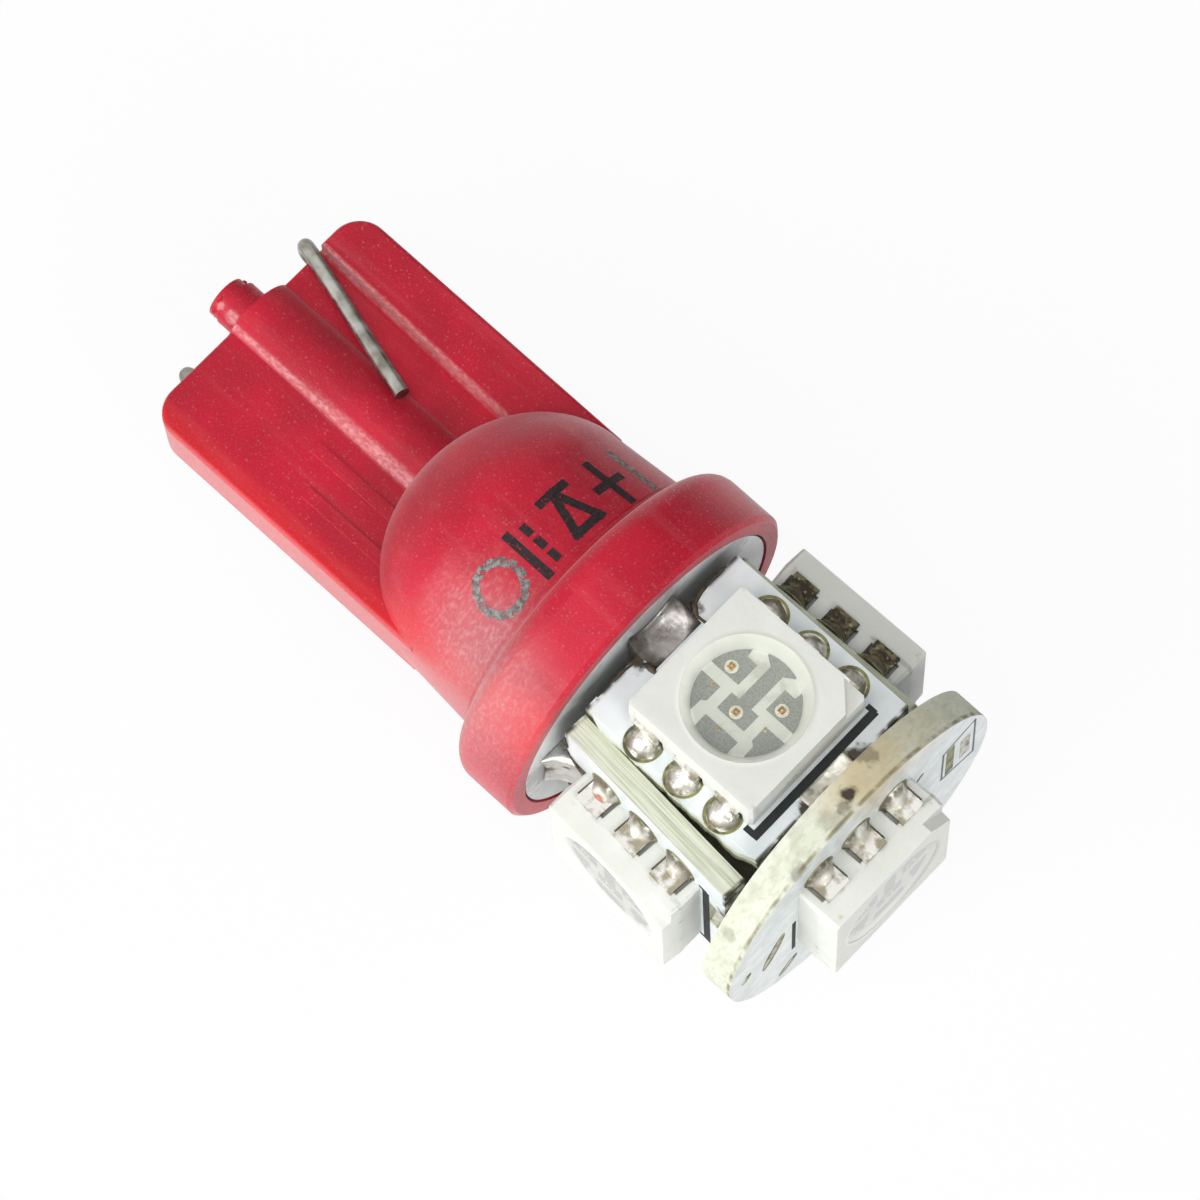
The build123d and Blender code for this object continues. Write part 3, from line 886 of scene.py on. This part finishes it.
def bondWires(name, seat):
    halo, wires, chips = bmesh.new(), bmesh.new(), bmesh.new()
    for chip, bond in zip(dice["chips"], dice["bonds"]):
        chip, bond = Vector(chip), Vector(bond)
        disc(halo, dice["halo"], dice["glue"], (chip.x, chip.y, dice["leadTop"]))
        height = dice["chipTop"] - dice["leadTop"]
        block = bmesh.ops.create_cube(chips, size=1)["verts"]
        bmesh.ops.scale(chips, vec=(dice["chip"], dice["chip"], height), verts=block)
        bmesh.ops.translate(chips, vec=(chip.x, chip.y, dice["leadTop"] + height / 2), verts=block)
        run = bond - chip
        middle = (chip + bond) / 2
        loop = bmesh.ops.create_circle(wires, segments=dice["wireSides"], radius=dice["wire"])["verts"]
        edges = list({e for v in loop for e in v.link_edges})
        bmesh.ops.translate(wires, verts=loop, vec=(run.length / 2, 0, 0))
        bmesh.ops.spin(wires, geom=loop + edges, cent=(0, 0, 0), axis=(0, -1, 0), angle=pi,
                       steps=dice["wireSteps"])
        verts = [v for v in wires.verts if v.tag is False]
        turn = Matrix.Rotation(atan2(run.y, run.x), 4, "Z")
        place = Matrix.Translation((middle.x, middle.y, dice["chipTop"] - dice["sink"])) @ turn
        bmesh.ops.transform(wires, matrix=place @ Matrix.Diagonal((1, 1, dice["loop"], 1)), verts=verts)
        for where, radius, height in ((chip, dice["chipBall"], dice["chipTop"]),
                                      (bond, dice["bondBall"], dice["leadTop"])):
            ball = bmesh.ops.create_icosphere(wires, subdivisions=2, radius=radius)["verts"]
            bmesh.ops.scale(wires, vec=(1, 1, 0.5), verts=ball)
            bmesh.ops.translate(wires, verts=ball, vec=(where.x, where.y, height))
        for vert in wires.verts:
            vert.tag = True
    place = inMetres @ seat
    finishPiece(halo, f"chip_glue_{name}", chipHalo, place)
    finishPiece(wires, f"bond_wires_{name}", gold, place)
    edges = [e for e in chips.edges if e.calc_length() > 0.75 * dice["chip"]]
    bmesh.ops.bevel(chips, geom=edges, offset=dice["chipBevel"], offset_type="OFFSET", segments=2,
                    profile=0.5, affect="EDGES", material=-1, clamp_overlap=True)
    piece = finishPiece(chips, f"chips_{name}", chipTop, place)
    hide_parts(f"emitter_{name}_chips")


bead = {
    "radius": 0.44,
    "lift": 0.05,
    "pitch": 1.6,
    "leadOuter": 2.65,
    "height": 0.44,
    "flare": 0.25,
    "flat": 0.6,  # the front row that was soldered low
    "vary": 0.1,
    "tallVary": 0.18,
    "squash": 0.95,
    "lean": 0.12,
    "scorch": (-1.6, 2.62, 0.3),
}


def solderBeads(name, seat, seed):
    bm = bmesh.new()
    for row in (-1, 1):
        for step in (-1, 0, 1):
            drop = bmesh.ops.create_icosphere(bm, subdivisions=4, radius=1)["verts"]
            where = Vector((step * bead["pitch"], row * (bead["leadOuter"] + bead["lift"]), 0))
            key = Vector((seed, row * 3, step * 5))
            tall = bead["height"] * (1 + bead["tallVary"] * noise.noise(key * 1.3))
            if name == "front" and row == 1:
                tall *= bead["flat"]
            for vert in drop:
                swell = 1 + bead["vary"] * noise.noise(vert.co * 1.6 + key)
                low = max(vert.co.z, 0)
                spread = bead["radius"] * swell * (1 + bead["flare"] * (1 - low) ** 2)
                vert.co = Vector((vert.co.x * spread, vert.co.y * spread * bead["squash"],
                                  low * tall * swell))
                vert.co.y -= row * bead["lean"] * low
            bmesh.ops.translate(bm, verts=drop, vec=where)
    scorch = seat @ Vector(bead["scorch"]) if name == "left" else None
    finish = solderMetal(f"beads{name.capitalize()}", *package["beads"][wearAndShadeOf(name)], 0.6, seat, scorch)
    piece = finishPiece(bm, f"solder_beads_{name}", finish, inMetres @ seat, 60)
    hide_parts(f"emitter_{name}_solder")


pad = {"outer": 0.62, "inner": 0.52, "step": 0.01}
silk = {  # start, end, width and share of the pads' step
    "top": (((-2.62, -2.9), (-2.62, -0.2), 0.15, 1),),
    "side": (((2.72, -2.5), (2.7, 2.5), 0.28, 1), ((2.42, -2.55), (2.6, -2.55), 0.2, 0.7),
             ((2.5, 2.6), (2.66, 2.6), 0.18, 0.7)),
}


def boardPrint(name, seat):
    outer, inner, ink = bmesh.new(), bmesh.new(), bmesh.new()
    for row in (-1, 1):
        for step in (-1, 0, 1):
            where = (step * bead["pitch"], row * (bead["leadOuter"] + bead["lift"]), 0)
            disc(outer, pad["outer"], pad["step"], where)
            disc(inner, pad["inner"], 2 * pad["step"], where)
    place = inMetres @ seat
    finishPiece(outer, f"pad_rims_{name}", padOlive, place)
    finishPiece(inner, f"pads_{name}", padTin, place)
    for start, end, width, rise in silk["top" if name == "top" else "side"]:
        strip(ink, start, end, width, pad["step"] * rise)
    finishPiece(ink, f"silk_{name}", silkBlack, place)


endPrint = {
    "thick": 0.012,
    "line": 0.07,
    "tick": ((2.45, 2.0), (2.65, 2.2), 0.12),
    "box": ((3.62, -0.6), (5.05, -1.0), (5.0, 2.25), (3.62, 1.9)),
    "boxPad": ((3.95, -0.35), (3.95, 1.6), 0.34),
    "boxTin": ((4.62, -0.1), (4.62, 1.1), 0.42),
    "lenses": (((-3.75, -0.45), 2.1, 0.5, 66), ((-4.93, -0.33), 0.6, 0.3, 60),
               ((-3.1, -3.6), 1.0, 0.35, 40)),
    "lensTin": {"shift": (-0.08, 0.04), "length": 0.8, "width": 0.45, "thick": 1.6},
}


def oval(bm, middle, length, width, turn, height):
    made = bmesh.ops.create_cone(bm, cap_ends=True, segments=28, radius1=0.5, radius2=0.5, depth=height)
    place = Matrix.Translation((*middle, height / 2)) @ Matrix.Rotation(radians(turn), 4, "Z")
    bmesh.ops.transform(bm, matrix=place @ Matrix.Diagonal((length, width, 1, 1)), verts=made["verts"])


def topBoardPrint():
    copper, tin, ink = bmesh.new(), bmesh.new(), bmesh.new()
    thick, corners = endPrint["thick"], endPrint["box"]
    for start, end in zip(corners, corners[1:] + corners[:1]):
        strip(ink, start, end, endPrint["line"], thick)
    strip(copper, *endPrint["boxPad"], thick)
    strip(tin, *endPrint["boxTin"], thick)
    cover = endPrint["lensTin"]
    for (x, y), length, width, turn in endPrint["lenses"]:
        oval(copper, (x, y), length, width, turn, thick)
        oval(tin, (x + cover["shift"][0], y + cover["shift"][1]), length * cover["length"],
             width * cover["width"], turn, thick * cover["thick"])
    strip(ink, *endPrint["tick"], thick)
    place = topPlace.copy()
    place.translation = station(tower["topFront"])
    place = inMetres @ place
    finishPiece(copper, "end_pads", padOlive, place)
    finishPiece(tin, "end_pad_tin", padTin, place)
    finishPiece(ink, "end_silk", silkGrey, place)


topBoardPrint()
print("emitters")
for index, (name, seat) in enumerate(seats.items()):
    softHousing(name, seat)
    resinPiece(name, seat)
    bondWires(name, seat)
    solderBeads(name, seat, index * 7)
    boardPrint(name, seat)
    legs = leadMetal(f"leads{name.capitalize()}", seat, *package["legs"][wearAndShadeOf(name)])
    dress(f"emitter_{name}_leads", legs)


melt = {
    "voxel": 0.045,
    "smooth": 45,
    "ripple": 0.06,
    "rippleScale": 1400,
    "swell": 1.06,
    "sag": 0.22,
    "frontSag": 0.5,
    "heart": (0.05, 0.3),
    "clear": {"front": 1.05, "others": 1.7},
}


def hollowed(bm, place, sag):
    # The outer skin sinks between the notch's sides, as solder that wets them does
    home = place.inverted()
    points = [home @ (v.co / mm) for v in bm.verts]
    low = [min(point[i] for point in points) for i in range(3)]
    high = [max(point[i] for point in points) for i in range(3)]
    for vert, point in zip(bm.verts, points):
        across = 2 * (point.y - low[1]) / (high[1] - low[1]) - 1
        height = max(0, 2 * (point.z - low[2]) / (high[2] - low[2]) - 1)
        height *= height * (3 - 2 * height)
        point.z -= sag * max(0, 1 - across * across) * height
        vert.co = (place @ point) * mm


def meltedJoint(node, seed, finish, place, sag):
    blank = newObject(mergedCopy(node), "meltBlank")
    remesh = blank.modifiers.new("remesh", "REMESH")
    remesh.mode = "VOXEL"
    remesh.voxel_size = melt["voxel"] * mm
    shaped = bpy.data.meshes.new_from_object(blank.evaluated_get(bpy.context.evaluated_depsgraph_get()))
    bpy.data.objects.remove(blank)
    bm = bmesh.new()
    bm.from_mesh(shaped)
    for _ in range(melt["smooth"]):
        bmesh.ops.smooth_vert(bm, verts=bm.verts, factor=0.5, use_axis_x=True, use_axis_y=True,
                              use_axis_z=True)
    bm.normal_update()
    middle = sum((v.co for v in bm.verts), Vector()) / len(bm.verts)
    for vert in bm.verts:
        wave = noise.noise(vert.co * melt["rippleScale"] + Vector((seed, 0, 0)))
        vert.co = middle + (vert.co - middle) * melt["swell"] + vert.normal * wave * melt["ripple"] * mm
    hollowed(bm, place, sag)
    piece = finishPiece(bm, f"melted_{node}", finish, asIs, 180)
    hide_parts(node)


fluxLine = {
    "path": ((0.02, 2.75), (0.02, 1.7), (0.12, 1.25), (0.45, 1.05), (0.86, 1.08), (1.0, 0.85)),
    "radius": 0.1,
    "gap": 0.06,
    "thin": 0.35,  # share of the radius at the outer end
    "ragged": 1.3,
    "waves": 2.3,
    "squash": 0.7,
}


def fluxLines(name, place, seed):
    bm = bmesh.new()
    for side in (-1, 1):
        path = [Vector((u, side * v + tower["shift"], 0)) for u, v in fluxLine["path"]]
        far = (path[0] - path[-1]).length
        for start, end in zip(path, path[1:]):
            steps = max(2, round((end - start).length / fluxLine["gap"]))
            for step in range(steps):
                where = start.lerp(end, step / steps)
                key = where * fluxLine["waves"] + Vector((seed * 5, side * 9, 0))
                reach = (where - path[-1]).length / far
                size = fluxLine["radius"] * (1 - (1 - fluxLine["thin"]) * reach)
                size *= 1 + fluxLine["ragged"] * noise.noise(key)
                lump = bmesh.ops.create_icosphere(bm, subdivisions=2, radius=size)["verts"]
                bmesh.ops.scale(bm, vec=(1, 1, fluxLine["squash"]), verts=lump)
                bmesh.ops.translate(bm, vec=where, verts=lump)
    finishPiece(bm, f"flux_lines_{name}", fluxBrown, inMetres @ place, 180)


print("notch solder")
fluxBrown = plainPaint("fluxBrown", shade(38, 31, 20), shade(82, 66, 40), 0.3, 3.0,
                       grime=shade(20, 16, 10))
for index, name in enumerate(sides):
    along, out = melt["heart"]
    heart = boards[name] @ Vector((along, tower["shift"], out))
    isFront = name == "front"
    # Painted shade: the front board's lower joint, down in its notch by the collar, gets a darker solder
    # than the others
    tint = shade(160, 156, 152) if isFront else shade(216, 213, 208)
    notchSolder = solderMetal(f"notchSolder{name.capitalize()}", tint, shade(52, 44, 32), 0.24, 0.16, 0.2,
                              heart=heart, clear=melt["clear"]["front" if isFront else "others"])
    meltedJoint(f"lower_joint_{name}", index * 3, notchSolder, boards[name],
                melt["frontSag"] if isFront else melt["sag"])
    meltedJoint(f"upper_joint_{name}", index * 3 + 1, creamSolder, boards[name], melt["sag"])
    fluxLines(name, boards[name], index)


sprue = {"ring": 0.58, "lump": 0.2, "count": 9, "station": -1.12, "shift": 0.07, "vary": 0.9, "torn": 0.3,
         "squash": 0.55}


def sprueTear():
    bm = bmesh.new()
    for step in range(sprue["count"]):
        turn = 2 * pi * step / sprue["count"]
        size = sprue["lump"] * (1 + sprue["vary"] * noise.noise(Vector((step * 1.7, 2, 5))))
        lump = bmesh.ops.create_icosphere(bm, subdivisions=3, radius=size)["verts"]
        for vert in lump:
            vert.co *= 1 + sprue["torn"] * noise.noise(vert.co * 9 + Vector((step, 0, 0)))
        bmesh.ops.scale(bm, vec=(sprue["squash"], 1, 1), verts=lump)
        middle = station(sprue["station"], sprue["ring"] * cos(turn) - sprue["shift"],
                         sprue["ring"] * sin(turn) + sprue["shift"])
        bmesh.ops.translate(bm, vec=middle, verts=lump)
    finishPiece(bm, "sprue_tear", red, inMetres, 180)


sprueTear()


stamp = {
    "middle": 12.62,
    "stroke": 0.29,
    "lift": 0.005,
    "radius": 4.8,
    "reach": 9,
    "ring": 0.8,
    "ringParts": 14,
    "ringStroke": 0.9,
}
marks = {  # start, end and share of the stroke
    "direct": (((-0.85, -0.3), (0.85, -0.3), 1), ((-0.66, 0.25), (-0.5, 0.25), 0.9),
               ((-0.08, 0.25), (0.08, 0.25), 0.9), ((0.5, 0.25), (0.66, 0.25), 0.9)),
    "diode": (((-0.85, -0.5), (-0.85, 0.5), 1), ((-0.85, 0), (0.6375, -0.5), 1),
              ((-0.85, 0), (0.6375, 0.5), 1), ((0.6375, -0.5), (0.6375, 0.5), 1)),
    "plus": (((-0.85, 0), (0.85, 0), 1), ((0, -0.527), (0, 0.527), 1)),
    "minus": (((-0.85, 0), (0.85, 0), 1),),
}


def ringMark():
    turns = [2 * pi * step / stamp["ringParts"] for step in range(stamp["ringParts"] + 1)]
    ends = [(stamp["ring"] * cos(turn), stamp["ring"] * sin(turn)) for turn in turns]
    return [(start, end, stamp["ringStroke"]) for start, end in zip(ends, ends[1:])]


def inkStroke(bm, start, end, width):
    start, end = Vector(start), Vector(end)
    run = end - start
    made = bmesh.ops.create_grid(bm, x_segments=10, y_segments=3, size=0.5)["verts"]
    middle = ((start + end) / 2).to_3d()
    middle.z = (len(bm.verts) - len(made)) * 0.00001  # each stroke lies a hair above the last
    place = Matrix.Translation(middle) @ Matrix.Rotation(atan2(run.y, run.x), 4, "Z")
    bmesh.ops.transform(bm, matrix=place @ Matrix.Diagonal((run.length + width, width, 1, 1)), verts=made)


def wrapOnBarrel(bm, turn):
    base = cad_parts["wedge_base"]
    for vert in bm.verts:
        angle = radians(turn) + vert.co.y / stamp["radius"]
        out = Vector((0, sin(angle), cos(angle)))
        start = station(stamp["middle"] + vert.co.x) * mm
        hit, where = base.ray_cast(start + out * stamp["reach"] * mm, -out)[:2]
        lift = out * (stamp["lift"] + vert.co.z) * mm
        vert.co = where + lift if hit else start + out * stamp["radius"] * mm


def addStamp(name, turn, strokes, ink):
    bm = bmesh.new()
    for start, end, share in strokes:
        inkStroke(bm, start, end, stamp["stroke"] * share)
    wrapOnBarrel(bm, turn)
    finishPiece(bm, f"stamp_{name}", ink, asIs)


print("stamp")
blackInk = wornInk("blackInk", 0.38, shade(14, 10, 12), shade(40, 30, 34))
greyInk = wornInk("greyInk", 0.44, shade(92, 92, 92), shade(150, 150, 146))
addStamp("round", -26, ringMark(), greyInk)
for name, turn, ink in (("direct", -7, blackInk), ("diode", 12.8, blackInk), ("plus", 33, blackInk),
                        ("minus", 48, greyInk)):
    addStamp(name, turn, marks[name], ink)

print("stage")
view = {
    "target": station(13.955, 0.6425, 0) * mm,
    "right": Vector((0.7259, 0.6874, -0.0241)),
    "back": Vector((0.2363, -0.2162, 0.9473)),
    "distance": 0.18,
    "lens": 178.66,
    "sensor": 36,
    "near": 0.01,
    "far": 5,
}
studio = {
    "floorSize": 1.5,
    "floorGlow": 0.93,
    "card": {"size": 0.09, "where": (0.03, 0.13, 0.07), "tilt": 75},
    "sky": 0.34,
    "aim": (0, 0, 0.006),
    "lamps": {  # place, size and power
        "sideLamp": ((-0.03, -0.22, 0.11), 0.2, 0.41),
        "endLamp": ((0.24, -0.08, 0.2), 0.16, 0.29),
        "topLamp": ((0.03, -0.1, 0.38), 0.24, 0.42),
    },
}


def addCamera():
    data = bpy.data.cameras.new("camera")
    data.lens = view["lens"]
    data.sensor_width = view["sensor"]
    data.clip_start = view["near"]
    data.clip_end = view["far"]
    camera = bpy.data.objects.new("camera", data)
    back = view["back"].normalized()
    up = back.cross(view["right"]).normalized()
    right = up.cross(back)
    place = Matrix((right, up, back)).transposed().to_4x4()
    place.translation = view["target"] + back * view["distance"]
    camera.matrix_world = place
    bpy.context.scene.collection.objects.link(camera)
    bpy.context.scene.camera = camera


def addFloor():
    bm = bmesh.new()
    bmesh.ops.create_grid(bm, x_segments=2, y_segments=2, size=studio["floorSize"])
    material, tree, surface = newMaterial("palePaper")
    floor = newObject(bm, "floor", material)
    settle(surface, Base_Color=(0.9, 0.9, 0.9, 1), Roughness=0.9, Specular_IOR_Level=0.1)
    white = put(tree, "ShaderNodeEmission", {"Color": (1, 1, 1, 1), "Strength": 1.0})
    mixShaders(tree, times(tree, seenRays(tree), studio["floorGlow"]), surface, white)


def addLamp(name, where, size, power):
    data = bpy.data.lights.new(name, "AREA")
    data.shape = "DISK"
    data.size = size
    data.energy = power
    lamp = bpy.data.objects.new(name, data)
    lamp.location = where
    lamp.rotation_euler = (Vector(where) - Vector(studio["aim"])).to_track_quat("Z", "Y").to_euler()
    bpy.context.scene.collection.objects.link(lamp)


def addDarkCard():
    bm = bmesh.new()
    setting = studio["card"]
    bmesh.ops.create_grid(bm, x_segments=1, y_segments=1, size=setting["size"])
    place = Matrix.Translation(setting["where"]) @ Matrix.Rotation(radians(setting["tilt"]), 4, "X")
    bmesh.ops.transform(bm, matrix=place, verts=bm.verts)
    material, _, surface = newMaterial("darkFelt")
    card = newObject(bm, "darkCard", material)
    card.visible_camera = False
    settle(surface, Base_Color=(0.1, 0.1, 0.1, 1), Roughness=1.0)


def addWorld():
    world = bpy.data.worlds.new("studio")
    bpy.context.scene.world = world
    world.use_nodes = True
    tree = world.node_tree
    background = next(n for n in tree.nodes if n.type == "BACKGROUND")
    background.inputs["Color"].default_value = (1, 1, 1, 1)
    strength = plus(tree, times(tree, seenRays(tree), 1 - studio["sky"]), studio["sky"])
    connect(tree, background.inputs["Strength"], strength)


addCamera()
addFloor()
addDarkCard()
addWorld()
for name, (where, size, power) in studio["lamps"].items():
    addLamp(name, where, size, power)
bpy.context.scene.view_settings.view_transform = "Standard"

print("done")
